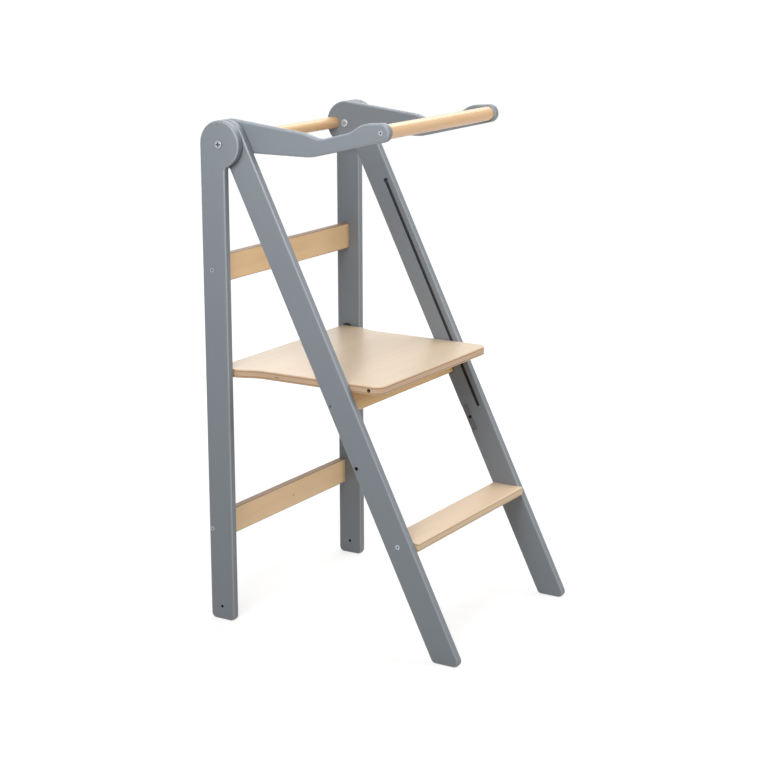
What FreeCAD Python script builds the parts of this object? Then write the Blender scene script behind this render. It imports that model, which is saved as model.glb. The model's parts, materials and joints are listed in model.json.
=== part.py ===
import FreeCAD, Part
import os
import Sketcher
from FreeCAD import Placement, Rotation, Vector

# Folding kitchen helper stool for a toddler. Millimetres, +Z up, the step side faces -Y.
# Origin: on the floor, in the middle of the outline that the standing stool covers.
# Left is -X and right is +X. On each side the boards lie in three layers on one pivot bolt:
# rear leg outside, front leg in the middle, guard arm inside.

SIZES = [
    ("board", 15.0, "thickness of every plywood board"),
    ("overall_width", 445.0, "over the outer faces of the rear legs"),
    ("layer_gap", 1.0, "gap between two board layers at the pivot"),
    ("head_radius", 40.5, "round heads of the legs and arms"),
    ("leg_width", 51.0, "width of the rear and front legs"),
    ("pivot_height", 859.5, "height of the pivot axis over the floor"),
    ("spread_angle", 26.24, "lean of the front legs when the stool stands, in degrees"),
    ("neck_round", 8.0, "inner corner under the round head of a leg"),
    ("foot_round", 10.0, "corners of the feet"),
    ("paint_round", 4.0, "rounded edges of the painted boards"),
    ("wood_round", 2.0, "rounded edges of the clear boards"),
    ("slat_height", 48.0, "height of both rear slats"),
    ("upper_slat_bottom", 617.0, "underside of the upper slat"),
    ("lower_slat_bottom", 146.0, "underside of the lower slat"),
    ("upper_slat_inset", 12.5, "upper slat, in from the rear edge of the legs"),
    ("foot_hole_height", 25.4, "hole for a wall or floor fixing, over the floor"),
    ("foot_hole_inset", 25.0, "that hole, in from the rear edge of the leg"),
    ("foot_hole_radius", 2.8, "radius of that hole"),
    ("platform_top", 465.0, "standing height in the upper setting"),
    ("hinge_inset", 23.0, "platform hinge, in from the rear edge of the leg"),
    ("platform_tail", 10.0, "platform behind its hinge axis"),
    ("platform_nose", 23.0, "platform in front of the guide holes of the lower setting"),
    ("platform_side_gap", 1.0, "between the platform and each front leg"),
    ("platform_corner", 20.0, "front corners of the platform"),
    ("ear_length", 33.0, "straight side of an ear in front of the hinge axis"),
    ("ear_taper", 36.0, "length over which an ear narrows to the platform's side"),
    ("ear_blend", 55.0, "both curves of that taper"),
    ("ear_corner", 4.0, "rear corners of the ears"),
    ("ear_gap", 0.2, "between an ear and its washer"),
    ("washer_radius", 12.0, "washer between ear and rear leg"),
    ("washer_thickness", 2.0, "the same washer"),
    ("pin_radius", 3.0, "steel pins of the platform"),
    ("pin_in_leg", 10.0, "depth of the hinge pin's hole in the rear leg"),
    ("pin_in_platform", 25.0, "depth of the pin holes in the platform"),
    ("pin_end_gap", 0.3, "room at the blind ends of the pins"),
    ("running_gap", 0.05, "radial clearance of a pin in its hole"),
    ("setting_spacing", 115.0, "upper to lower platform setting, along a front leg"),
    ("slot_inset", 14.5, "guide slot, in from the front edge of the front leg"),
    ("slot_half_width", 3.2, "half the width of the guide slot"),
    ("slot_depth", 8.0, "depth of the guide slot"),
    ("slot_top", 129.0, "upper end of the slot, from the pivot along the leg"),
    ("slot_margin", 6.0, "slot below the pin of the lower setting"),
    ("slot_entry_radius", 4.5, "round entry at the upper end of the slot"),
    ("rail_height", 48.0, "height of the rail that carries the platform"),
    ("rail_housing", 4.0, "depth of the housings for the ends of the rail"),
    ("rail_seat_gap", 0.2, "between the rail and the underside of the platform"),
    ("housing_play", 1.5, "room above and below the rail in its housing"),
    ("step_top", 203.0, "height of the step"),
    ("step_depth", 62.5, "depth of the step, front to back"),
    ("step_offset", 1.4, "middle of the step in front of its screws"),
    ("arm_underside", 16.0, "straight underside of the arm, below the pivot axis"),
    ("shoulder_run", 30.0, "shoulder of the arm behind the dip"),
    ("shoulder_height", 24.0, "shoulder of the arm, over the pivot"),
    ("shoulder_round", 90.0, "curve at the shoulder"),
    ("dip_run", 59.0, "dip in the arm's upper edge behind the rise"),
    ("dip_height", 15.0, "lowest point of the dip, over the pivot"),
    ("dip_round", 40.0, "curve in the dip"),
    ("rise_run", 26.0, "start of the steep rise behind the crest"),
    ("rise_height", 30.0, "the same point, over the pivot"),
    ("rise_round", 50.0, "curve at the start of the rise"),
    ("crest_run", 35.8, "crest behind the centre of the tip"),
    ("crest_height", 46.0, "the crest, over the pivot"),
    ("crest_round", 45.0, "curve at the crest"),
    ("belly_run", 138.8, "bend in the arm's underside, behind the centre of the tip"),
    ("belly_round", 90.0, "curve of that bend"),
    ("arm_neck_round", 12.0, "inner corner between the arm's head and underside"),
    ("tip_reach", 302.8, "centre of the arm's round tip, forward"),
    ("tip_height", 32.8, "centre of the tip, over the pivot"),
    ("tip_radius", 16.0, "round tip of the arm"),
    ("front_dowel_radius", 12.5, "round rail between the tips"),
    ("rear_dowel_radius", 11.0, "round rail behind the pivot"),
    ("rear_dowel_back", 23.0, "rear rail behind the pivot axis"),
    ("dowel_socket", 7.0, "depth of the sockets in the arms"),
    ("dowel_play", 0.1, "radial play of a dowel in its socket"),
    ("sleeve_radius", 4.0, "barrel of the sleeve nut at the pivot"),
    ("sleeve_gap", 0.15, "radial clearance of that barrel in the boards"),
    ("sleeve_bore", 2.6, "radius of the bore of the sleeve nut"),
    ("sleeve_end_gap", 1.0, "between the sleeve's end and the bolt head"),
    ("bolt_shank", 2.5, "shank of the pivot bolt"),
    ("bolt_reach", 24.0, "length of that shank"),
    ("bolt_head_radius", 7.0, "flat heads of the bolt and the sleeve nut"),
    ("bolt_head_height", 2.2, "height of both heads"),
    ("bolt_head_round", 0.9, "rim of both heads"),
    ("recess_length", 9.0, "cross recess, end to end"),
    ("recess_width", 2.4, "cross recess, width of an arm"),
    ("recess_depth", 1.3, "cross recess, depth"),
    ("spacer_radius", 14.0, "spacer washers between the layers"),
    ("spacer_play", 0.05, "gap on each side of a spacer washer and under the nut's head"),
    ("screw_shank", 2.4, "shank of every wood screw"),
    ("screw_length", 45.0, "length of every wood screw"),
    ("screw_head_radius", 4.0, "countersunk head"),
    ("screw_head_height", 2.6, "countersunk head"),
    ("screw_play", 0.08, "room round a screw"),
    ("screw_end_room", 1.0, "hole beyond the point of a screw"),
    ("socket_radius", 1.8, "hexagon socket of a screw, over its corners"),
    ("socket_depth", 2.0, "hexagon socket of a screw"),
]

# Places worked out from the sizes. "forward" and "down" are counted from the pivot axis,
# and "down" follows a front leg; "y" and "z" places are counted from the origin.
LAYOUT = [
    ("half_board", "Sizes.board / 2"),
    ("half_slat", "Sizes.slat_height / 2"),
    ("half_rail", "Sizes.rail_height / 2"),
    ("half_step", "Sizes.step_depth / 2"),
    # layers, from the outside to the middle
    ("rear_leg_outer", "Sizes.overall_width / 2"),
    ("rear_leg_inner", "rear_leg_outer - Sizes.board"),
    ("front_leg_outer", "rear_leg_inner - Sizes.layer_gap"),
    ("front_leg_inner", "front_leg_outer - Sizes.board"),
    ("arm_outer", "front_leg_inner - Sizes.layer_gap"),
    ("arm_inner", "arm_outer - Sizes.board"),
    ("outer_spacer", "front_leg_outer + Sizes.spacer_play"),
    ("inner_spacer", "arm_outer + Sizes.spacer_play"),
    ("spacer_thickness", "Sizes.layer_gap - 2 * Sizes.spacer_play"),
    ("nut_seat", "arm_inner - Sizes.spacer_play"),
    ("sleeve_length", "rear_leg_outer - nut_seat - Sizes.sleeve_end_gap"),
    # legs
    ("short_edge", "Sizes.leg_width - Sizes.head_radius"),
    ("leg_middle", "Sizes.head_radius - Sizes.leg_width / 2"),
    ("sine", "sin(Sizes.spread_angle)"),
    ("cosine", "cos(Sizes.spread_angle)"),
    ("foot_front_down", "(Sizes.pivot_height + Sizes.head_radius * sine) / cosine"),
    ("foot_rear_down", "(Sizes.pivot_height - short_edge * sine) / cosine"),
    ("foot_lost", "Sizes.foot_round * (1 / tan(45 - Sizes.spread_angle / 2) - 1)"),
    ("foot_reach", "Sizes.head_radius * cosine + foot_front_down * sine - foot_lost"),
    ("pivot_y", "(foot_reach - Sizes.head_radius) / 2"),
    ("foot_hole_back", "Sizes.head_radius - Sizes.foot_hole_inset"),
    ("upper_slat_back", "Sizes.head_radius - Sizes.upper_slat_inset - half_board"),
    ("lower_slat_back", "Sizes.head_radius - half_board"),
    ("upper_slat_y", "pivot_y + upper_slat_back"),
    ("lower_slat_y", "pivot_y + lower_slat_back"),
    ("upper_slat_z", "Sizes.upper_slat_bottom + half_slat"),
    ("lower_slat_z", "Sizes.lower_slat_bottom + half_slat"),
    ("slat_length", "2 * rear_leg_inner"),
    # platform and its hinge
    ("platform_bottom", "Sizes.platform_top - Sizes.board"),
    ("hinge_back", "Sizes.head_radius - Sizes.hinge_inset"),
    ("hinge_y", "pivot_y + hinge_back"),
    ("hinge_z", "Sizes.platform_top - half_board"),
    ("low_hinge_z", "hinge_z - Sizes.setting_spacing * cosine"),
    ("platform_half", "front_leg_inner - Sizes.platform_side_gap"),
    ("washer_inner", "rear_leg_inner - Sizes.washer_thickness"),
    ("ear_half", "washer_inner - Sizes.ear_gap"),
    ("ear_end", "Sizes.ear_length + Sizes.ear_taper"),
    ("pin_hole_radius", "Sizes.pin_radius + Sizes.running_gap"),
    ("hinge_pin_start", "ear_half - Sizes.pin_in_platform + Sizes.pin_end_gap"),
    ("hinge_pin_end", "rear_leg_inner + Sizes.pin_in_leg - Sizes.pin_end_gap"),
    ("hinge_pin_length", "hinge_pin_end - hinge_pin_start"),
    # guide slots and guide pins
    ("slot_forward", "Sizes.head_radius - Sizes.slot_inset"),
    ("slot_front", "slot_forward + Sizes.slot_half_width"),
    ("slot_back", "slot_forward - Sizes.slot_half_width"),
    ("guide_down", "(Sizes.pivot_height + slot_forward * sine - hinge_z) / cosine"),
    ("low_guide_down", "guide_down + Sizes.setting_spacing"),
    ("slot_end", "low_guide_down + Sizes.slot_margin"),
    ("guide_forward", "slot_forward * cosine + guide_down * sine"),
    ("low_guide_forward", "slot_forward * cosine + low_guide_down * sine"),
    ("guide_y", "pivot_y - guide_forward"),
    ("guide_reach", "guide_forward + hinge_back"),
    ("low_guide_reach", "low_guide_forward + hinge_back"),
    ("platform_reach", "low_guide_reach + Sizes.platform_nose"),
    ("guide_start", "platform_half + Sizes.pin_end_gap"),
    ("guide_end", "front_leg_inner + Sizes.slot_depth - Sizes.pin_end_gap"),
    ("guide_length", "guide_end - guide_start"),
    # rail: flush with the rear edge of the front legs, its rounded upper edge under the platform
    ("rail_front", "Sizes.board - short_edge"),
    ("rail_middle", "rail_front - half_board"),
    ("rail_rounding", "Sizes.wood_round * (sine + cosine - 1)"),
    ("rail_lift", "rail_front * sine + rail_rounding - Sizes.rail_seat_gap"),
    ("rail_top_down", "(Sizes.pivot_height - platform_bottom + rail_lift) / cosine"),
    ("rail_down", "rail_top_down + half_rail"),
    ("low_rail_down", "rail_down + Sizes.setting_spacing"),
    ("housing_half", "half_rail + Sizes.housing_play"),
    ("housing_top", "rail_down - housing_half"),
    ("housing_end", "rail_down + housing_half"),
    ("low_housing_top", "low_rail_down - housing_half"),
    ("low_housing_end", "low_rail_down + housing_half"),
    ("rail_half_length", "front_leg_inner + Sizes.rail_housing"),
    ("rail_length", "2 * rail_half_length"),
    ("rail_y", "pivot_y - rail_middle * cosine - rail_down * sine"),
    ("rail_z", "Sizes.pivot_height + rail_middle * sine - rail_down * cosine"),
    # step
    ("step_length", "2 * front_leg_inner"),
    ("step_z", "Sizes.step_top - half_board"),
    ("step_down", "(Sizes.pivot_height + leg_middle * sine - step_z) / cosine"),
    ("step_screw_y", "pivot_y - leg_middle * cosine - step_down * sine"),
    ("step_y", "step_screw_y - Sizes.step_offset"),
    # arm outline: points where its straight edges touch the round head and the round tip
    ("crest_reach", "Sizes.tip_reach - Sizes.crest_run"),
    ("rise_reach", "crest_reach - Sizes.rise_run"),
    ("dip_reach", "rise_reach - Sizes.dip_run"),
    ("shoulder_reach", "dip_reach - Sizes.shoulder_run"),
    ("belly_reach", "Sizes.tip_reach - Sizes.belly_run"),
    ("shoulder_far", "sqrt(shoulder_reach ^ 2 + Sizes.shoulder_height ^ 2)"),
    ("shoulder_turn", "atan(Sizes.shoulder_height / shoulder_reach)"),
    ("brow_angle", "shoulder_turn + acos(Sizes.head_radius / shoulder_far)"),
    ("brow_reach", "Sizes.head_radius * cos(brow_angle)"),
    ("brow_height", "Sizes.head_radius * sin(brow_angle)"),
    ("crest_above", "Sizes.crest_height - Sizes.tip_height"),
    ("crest_far", "sqrt(Sizes.crest_run ^ 2 + crest_above ^ 2)"),
    ("crest_turn", "atan(crest_above / Sizes.crest_run) + acos(Sizes.tip_radius / crest_far)"),
    ("tip_top_reach", "Sizes.tip_reach - Sizes.tip_radius * cos(crest_turn)"),
    ("tip_top_height", "Sizes.tip_height + Sizes.tip_radius * sin(crest_turn)"),
    ("belly_below", "Sizes.tip_height + Sizes.arm_underside"),
    ("belly_far", "sqrt(Sizes.belly_run ^ 2 + belly_below ^ 2)"),
    ("belly_turn", "atan(belly_below / Sizes.belly_run) + acos(Sizes.tip_radius / belly_far)"),
    ("tip_low_reach", "Sizes.tip_reach - Sizes.tip_radius * cos(belly_turn)"),
    ("tip_low_height", "Sizes.tip_height - Sizes.tip_radius * sin(belly_turn)"),
    ("dowel_half_length", "arm_inner + Sizes.dowel_socket"),
    ("dowel_length", "2 * dowel_half_length"),
    ("front_dowel_y", "pivot_y - Sizes.tip_reach"),
    ("front_dowel_z", "Sizes.pivot_height + Sizes.tip_height"),
    ("rear_dowel_y", "pivot_y + Sizes.rear_dowel_back"),
    ("front_socket_radius", "Sizes.front_dowel_radius + Sizes.dowel_play"),
    ("rear_socket_radius", "Sizes.rear_dowel_radius + Sizes.dowel_play"),
    # holes for the pivot and the screws
    ("pivot_hole_radius", "Sizes.sleeve_radius + Sizes.sleeve_gap"),
    ("screw_hole_radius", "Sizes.screw_shank + Sizes.screw_play"),
    ("sink_radius", "Sizes.screw_head_radius + Sizes.screw_play"),
    ("sink_depth", "Sizes.screw_head_height + Sizes.screw_play"),
    ("screw_room", "Sizes.screw_length + Sizes.screw_end_room"),
    ("slat_pilot", "screw_room - Sizes.board"),
    ("rail_pilot", "screw_room - Sizes.board + Sizes.rail_housing"),
    ("dowel_pilot", "screw_room - Sizes.board + Sizes.dowel_socket"),
    ("recess_half_length", "Sizes.recess_length / 2"),
    ("recess_half_width", "Sizes.recess_width / 2"),
]

SIDES = (("left", -1), ("right", 1))
TOLERANCE = 0.02

doc = FreeCAD.newDocument("KitchenHelperStool")
sizes = doc.addObject("Spreadsheet::Sheet", "Sizes")
for row, (alias, number, note) in enumerate(SIZES, start=1):
    sizes.set(f"A{row}", note)
    sizes.set(f"B{row}", str(number))
    sizes.setAlias(f"B{row}", alias)
doc.recompute()
layout = doc.addObject("Spreadsheet::Sheet", "Layout")
for row, (alias, formula) in enumerate(LAYOUT, start=1):
    layout.set(f"A{row}", "=" + formula)
    layout.setAlias(f"A{row}", alias)
doc.recompute()

parts = []


def value(term):
    """Number behind a term such as Sizes.board or -Layout.short_edge; None is zero."""
    if term is None:
        return 0.0
    sheet_name, alias = term.lstrip("-").split(".")
    number = float(doc.getObject(sheet_name).get(alias))
    return -number if term.startswith("-") else number


def flip(term):
    return term[1:] if term.startswith("-") else "-" + term


def sided(term, side):
    """The term on the right, and its mirror image on the left."""
    return term if side > 0 else flip(term)


def place(thing, x=None, y=None, z=None):
    for axis, term in (("x", x), ("y", y), ("z", z)):
        if term:
            thing.setExpression("Placement.Base." + axis, term)


def keep(thing, label):
    thing.Label = label
    parts.append(thing)
    return thing


# Sketches, and features on them

def new_body(name):
    return doc.addObject("PartDesign::Body", name)


def new_sketch(body, name, role):
    sketch = body.newObject("Sketcher::SketchObject", body.Name + name)
    plane = next(item for item in body.Origin.OriginFeatures if item.Role == role)
    sketch.AttachmentSupport = [(plane, "")]
    sketch.MapMode = "FlatFace"
    return sketch


def pin_point(sketch, geometry, end, across, up):
    """Hold a point of the sketch at its two terms; None puts it on the sketch's own axis."""
    for kind, axis, term in (("DistanceX", -2, across), ("DistanceY", -1, up)):
        if term is None:
            sketch.addConstraint(Sketcher.Constraint("PointOnObject", geometry, end, axis))
            continue
        rule = Sketcher.Constraint(kind, -1, 1, geometry, end, value(term))
        index = sketch.addConstraint(rule)
        sketch.setExpression(f"Constraints[{index}]", term)


def draw_polygon(sketch, corners):
    spots = [Vector(value(across), value(up), 0) for across, up in corners]
    ends = spots[1:] + spots[:1]
    lines = [sketch.addGeometry(Part.LineSegment(a, b)) for a, b in zip(spots, ends)]
    for line, after, corner in zip(lines, lines[1:] + lines[:1], corners):
        sketch.addConstraint(Sketcher.Constraint("Coincident", line, 2, after, 1))
        pin_point(sketch, line, 1, *corner)


def draw_circle(sketch, across, up, radius):
    centre = Vector(value(across), value(up), 0)
    circle = sketch.addGeometry(Part.Circle(centre, Vector(0, 0, 1), value(radius)))
    pin_point(sketch, circle, 3, across, up)
    index = sketch.addConstraint(Sketcher.Constraint("Radius", circle, value(radius)))
    sketch.setExpression(f"Constraints[{index}]", radius)


def pad(body, sketch, thickness, reverse=False, midplane=False):
    feature = body.newObject("PartDesign::Pad", sketch.Name + "Pad")
    feature.Profile = sketch
    feature.Reversed = reverse
    feature.Midplane = midplane
    feature.setExpression("Length", thickness)
    doc.recompute()


def check_cut(body, before, name):
    doc.recompute()
    assert body.Shape.Volume < before - 1.0, name + " cuts nothing"


def pocket(body, sketch, depth, reverse):
    before = body.Shape.Volume
    feature = body.newObject("PartDesign::Pocket", sketch.Name + "Pocket")
    feature.Profile = sketch
    feature.Reversed = reverse
    feature.setExpression("Length", depth)
    check_cut(body, before, sketch.Name)


def bore(body, name, radius, depth, mouth, x=None, y=None, z=None, sink=None):
    """Hole along X from the point (x, y, z) of the body. mouth is +1 or -1: the way its mouth
    faces. With a sink radius it is a countersink that narrows to the radius."""
    before = body.Shape.Volume
    kind = "PartDesign::SubtractiveCone" if sink else "PartDesign::SubtractiveCylinder"
    hole = body.newObject(kind, body.Name + name)
    hole.Placement = Placement(Vector(), Rotation(Vector(0, 1, 0), -90 * mouth))
    if sink:
        hole.setExpression("Radius1", sink)
        hole.setExpression("Radius2", radius)
    else:
        hole.setExpression("Radius", radius)
    hole.setExpression("Height", depth)
    place(hole, x, y, z)
    check_cut(body, before, hole.Name)


def screw_hole(body, name, side, y, z):
    """Countersunk hole from a board's outer face right through the board."""
    outer = sided("Sizes.board", side)
    bore(body, name, "Layout.screw_hole_radius", "Sizes.board", side, outer, y, z)
    bore(body, name + "Sink", "Layout.screw_hole_radius", "Layout.sink_depth", side, outer, y, z,
         sink="Layout.sink_radius")


def end_holes(body, half_length, depth, y=None):
    """Holes in both ends of a crosspiece for the part of a screw that reaches into it."""
    for name, side in SIDES:
        bore(body, "End" + name.capitalize(), "Layout.screw_hole_radius", depth, side,
             sided(half_length, side), y)


def spans(edge):
    box = edge.BoundBox
    return {"x": (box.XMin, box.XMax), "y": (box.YMin, box.YMax), "z": (box.ZMin, box.ZMax)}


def at_corner(axes, *spots):
    """Test for an edge that stands on one of the spots, seen along the third axis."""
    def test(edge):
        reach = spans(edge)
        return any(all(abs(end - value(term)) < TOLERANCE
                       for axis, term in zip(axes, spot) for end in reach[axis])
                   for spot in spots)
    return test


def flat_in(axes):
    """Test for an edge with no extent along the axes."""
    def test(edge):
        reach = spans(edge)
        return all(reach[axis][1] - reach[axis][0] < TOLERANCE for axis in axes)
    return test


def round_edges(body, name, radius, wanted):
    base = body.Tip
    names = [f"Edge{i}" for i, edge in enumerate(base.Shape.Edges, start=1) if wanted(edge)]
    assert names, body.Name + name + " finds no edge"
    feature = body.newObject("PartDesign::Fillet", body.Name + name)
    feature.Base = (base, names)
    feature.setExpression("Radius", radius)
    doc.recompute()


def round_neck(body, radius, edge_term, edge_axis_up, level_term, back):
    """Round the inner corner where a straight edge enters the head's circle. The edge is upright
    (a leg) or level (an arm), and back is the way along it, away from the head."""
    off = value(edge_term)
    along = back * (value("Sizes.head_radius") ** 2 - off ** 2) ** 0.5 + value(level_term)
    goal = {"y": off, "z": along} if edge_axis_up else {"y": along, "z": off}

    def test(edge):
        reach = spans(edge)
        return all(abs(end - goal[axis]) < TOLERANCE for axis in "yz" for end in reach[axis])
    round_edges(body, "Neck", radius, test)


# Legs and arms: a straight blade and a round head, padded outwards from the inner face

def make_rear_leg(name, side):
    leg = new_body("RearLeg" + name.capitalize())
    rear, front, top = "Sizes.head_radius", "-Layout.short_edge", "Sizes.pivot_height"
    blade = new_sketch(leg, "Blade", "YZ_Plane")
    draw_polygon(blade, [(rear, None), (rear, top), (front, top), (front, None)])
    pad(leg, blade, "Sizes.board", reverse=side < 0)
    head = new_sketch(leg, "Head", "YZ_Plane")
    draw_circle(head, None, top, "Sizes.head_radius")
    pad(leg, head, "Sizes.board", reverse=side < 0)
    round_neck(leg, "Sizes.neck_round", front, True, top, -1)
    round_edges(leg, "Foot", "Sizes.foot_round", at_corner("yz", (rear, None), (front, None)))
    round_edges(leg, "Rims", "Sizes.paint_round", flat_in("x"))

    outer = sided("Sizes.board", side)
    bore(leg, "Pivot", "Layout.pivot_hole_radius", "Sizes.board", side, outer, None, top)
    screw_hole(leg, "Upper", side, "Layout.upper_slat_back", "Layout.upper_slat_z")
    screw_hole(leg, "Lower", side, "Layout.lower_slat_back", "Layout.lower_slat_z")
    bore(leg, "FootHole", "Sizes.foot_hole_radius", "Sizes.board", side, outer,
         "Layout.foot_hole_back", "Sizes.foot_hole_height")
    for row, height in (("Hinge", "Layout.hinge_z"), ("LowHinge", "Layout.low_hinge_z")):
        bore(leg, row, "Layout.pin_hole_radius", "Sizes.pin_in_leg", -side,
             None, "Layout.hinge_back", height)
    place(leg, sided("Layout.rear_leg_inner", side), "Layout.pivot_y")
    keep(leg, "rear_leg_" + name)


def make_front_leg(name, side):
    """Drawn upright below its pivot, then leaned forward about it."""
    leg = new_body("FrontLeg" + name.capitalize())
    rear, front = "Layout.short_edge", "-Sizes.head_radius"
    rear_foot, front_foot = "-Layout.foot_rear_down", "-Layout.foot_front_down"
    blade = new_sketch(leg, "Blade", "YZ_Plane")
    draw_polygon(blade, [(rear, None), (front, None), (front, front_foot), (rear, rear_foot)])
    pad(leg, blade, "Sizes.board", reverse=side < 0)
    head = new_sketch(leg, "Head", "YZ_Plane")
    draw_circle(head, None, None, "Sizes.head_radius")
    pad(leg, head, "Sizes.board", reverse=side < 0)
    round_neck(leg, "Sizes.neck_round", rear, True, None, -1)
    feet = at_corner("yz", (front, front_foot), (rear, rear_foot))
    round_edges(leg, "Foot", "Sizes.foot_round", feet)
    round_edges(leg, "Rims", "Sizes.paint_round", flat_in("x"))

    bore(leg, "Pivot", "Layout.pivot_hole_radius", "Sizes.board", side,
         sided("Sizes.board", side))
    slot = new_sketch(leg, "Slot", "YZ_Plane")
    edges = ("-Layout.slot_front", "-Layout.slot_back")
    top, end = "-Sizes.slot_top", "-Layout.slot_end"
    draw_polygon(slot, [(edges[0], top), (edges[1], top), (edges[1], end), (edges[0], end)])
    pocket(leg, slot, "Sizes.slot_depth", reverse=side > 0)
    bore(leg, "SlotEntry", "Sizes.slot_entry_radius", "Sizes.slot_depth", -side,
         None, "-Layout.slot_forward", top)
    bore(leg, "SlotEnd", "Sizes.slot_half_width", "Sizes.slot_depth", -side,
         None, "-Layout.slot_forward", end)
    for row, low, high, middle in (
            ("Upper", "-Layout.housing_end", "-Layout.housing_top", "-Layout.rail_down"),
            ("Lower", "-Layout.low_housing_end", "-Layout.low_housing_top",
             "-Layout.low_rail_down")):
        housing = new_sketch(leg, row + "Housing", "YZ_Plane")
        inmost = "-Layout.rail_front"
        draw_polygon(housing, [(rear, high), (inmost, high), (inmost, low), (rear, low)])
        pocket(leg, housing, "Sizes.rail_housing", reverse=side > 0)
        screw_hole(leg, row + "Rail", side, "-Layout.rail_middle", middle)
    screw_hole(leg, "Step", side, "-Layout.leg_middle", "-Layout.step_down")
    leg.Placement = Placement(Vector(), Rotation(Vector(-1, 0, 0), value("Sizes.spread_angle")))
    leg.setExpression("Placement.Rotation.Angle", "Sizes.spread_angle")
    place(leg, sided("Layout.front_leg_inner", side), "Layout.pivot_y", "Sizes.pivot_height")
    keep(leg, "front_leg_" + name)


def make_arm(name, side):
    arm = new_body("Arm" + name.capitalize())
    shoulder = ("-Layout.shoulder_reach", "Sizes.shoulder_height")
    dip = ("-Layout.dip_reach", "Sizes.dip_height")
    rise = ("-Layout.rise_reach", "Sizes.rise_height")
    crest = ("-Layout.crest_reach", "Sizes.crest_height")
    belly = ("-Layout.belly_reach", "-Sizes.arm_underside")
    blade = new_sketch(arm, "Blade", "YZ_Plane")
    draw_polygon(blade, [
        (None, "-Sizes.arm_underside"),
        ("-Layout.brow_reach", "Layout.brow_height"),
        shoulder, dip, rise, crest,
        ("-Layout.tip_top_reach", "Layout.tip_top_height"),
        ("-Layout.tip_low_reach", "Layout.tip_low_height"),
        belly,
    ])
    pad(arm, blade, "Sizes.board", reverse=side < 0)
    for row, across, up, radius in (
            ("Head", None, None, "Sizes.head_radius"),
            ("Tip", "-Sizes.tip_reach", "Sizes.tip_height", "Sizes.tip_radius")):
        disc = new_sketch(arm, row, "YZ_Plane")
        draw_circle(disc, across, up, radius)
        pad(arm, disc, "Sizes.board", reverse=side < 0)
    for row, corner in (("shoulder", shoulder), ("dip", dip), ("rise", rise),
                        ("crest", crest), ("belly", belly)):
        round_edges(arm, row.capitalize(), f"Sizes.{row}_round", at_corner("yz", corner))
    round_neck(arm, "Sizes.arm_neck_round", "-Sizes.arm_underside", False, None, -1)
    round_edges(arm, "Rims", "Sizes.paint_round", flat_in("x"))

    bore(arm, "Pivot", "Layout.pivot_hole_radius", "Sizes.board", side,
         sided("Sizes.board", side))
    for row, radius, y, z in (
            ("Front", "Layout.front_socket_radius", "-Sizes.tip_reach", "Sizes.tip_height"),
            ("Rear", "Layout.rear_socket_radius", "Sizes.rear_dowel_back", None)):
        bore(arm, row + "Socket", radius, "Sizes.dowel_socket", -side, None, y, z)
        screw_hole(arm, row + "Screw", side, y, z)
    place(arm, sided("Layout.arm_inner", side), "Layout.pivot_y", "Sizes.pivot_height")
    keep(arm, "guard_arm_" + name)


# Crosspieces

def make_plank(name, half_depth, half_height, length):
    """Board across the stool: a rectangle seen from the side, with rounded long edges."""
    plank = new_body(name)
    end = new_sketch(plank, "End", "YZ_Plane")
    draw_polygon(end, [(half_depth, flip(half_height)), (half_depth, half_height),
                       (flip(half_depth), half_height), (flip(half_depth), flip(half_height))])
    pad(plank, end, length, midplane=True)
    round_edges(plank, "Rims", "Sizes.wood_round", flat_in("yz"))
    return plank


def make_slats():
    for row in ("upper", "lower"):
        slat = make_plank(row.capitalize() + "Slat", "Layout.half_board", "Layout.half_slat",
                          "Layout.slat_length")
        end_holes(slat, "Layout.rear_leg_inner", "Layout.slat_pilot")
        place(slat, None, f"Layout.{row}_slat_y", f"Layout.{row}_slat_z")
        keep(slat, row + "_rear_slat")


def make_step():
    step = make_plank("Step", "Layout.half_step", "Layout.half_board", "Layout.step_length")
    end_holes(step, "Layout.front_leg_inner", "Layout.slat_pilot", "Sizes.step_offset")
    place(step, None, "Layout.step_y", "Layout.step_z")
    keep(step, "step_tread")


def make_rail():
    rail = make_plank("Rail", "Layout.half_board", "Layout.half_rail", "Layout.rail_length")
    end_holes(rail, "Layout.rail_half_length", "Layout.rail_pilot")
    rail.Placement = Placement(Vector(), Rotation(Vector(-1, 0, 0), value("Sizes.spread_angle")))
    rail.setExpression("Placement.Rotation.Angle", "Sizes.spread_angle")
    place(rail, None, "Layout.rail_y", "Layout.rail_z")
    keep(rail, "platform_rail")


def make_platform():
    """Its own zero is the hinge axis, in the middle of the board's thickness."""
    platform = new_body("Platform")
    outline = new_sketch(platform, "Outline", "XY_Plane")
    ear, side_edge = "Layout.ear_half", "Layout.platform_half"
    right = [(ear, "Sizes.platform_tail"), (ear, "-Sizes.ear_length"),
             (side_edge, "-Layout.ear_end"), (side_edge, "-Layout.platform_reach")]
    left = [(flip(x), y) for x, y in right]
    draw_polygon(outline, right + left[::-1])
    pad(platform, outline, "Sizes.board", midplane=True)
    radii = ("Sizes.ear_corner", "Sizes.ear_blend", "Sizes.ear_blend", "Sizes.platform_corner")
    for number, (corners, radius) in enumerate(zip(zip(right, left), radii)):
        round_edges(platform, f"Corner{number}", radius, at_corner("xy", *corners))
    round_edges(platform, "Rims", "Sizes.wood_round", flat_in("z"))
    for name, side in SIDES:
        for row, edge, y in (("Hinge", ear, None),
                             ("Guide", side_edge, "-Layout.guide_reach"),
                             ("LowGuide", side_edge, "-Layout.low_guide_reach")):
            bore(platform, row + name.capitalize(), "Layout.pin_hole_radius",
                 "Sizes.pin_in_platform", side, sided(edge, side), y)
    place(platform, None, "Layout.hinge_y", "Layout.hinge_z")
    keep(platform, "platform")


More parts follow.
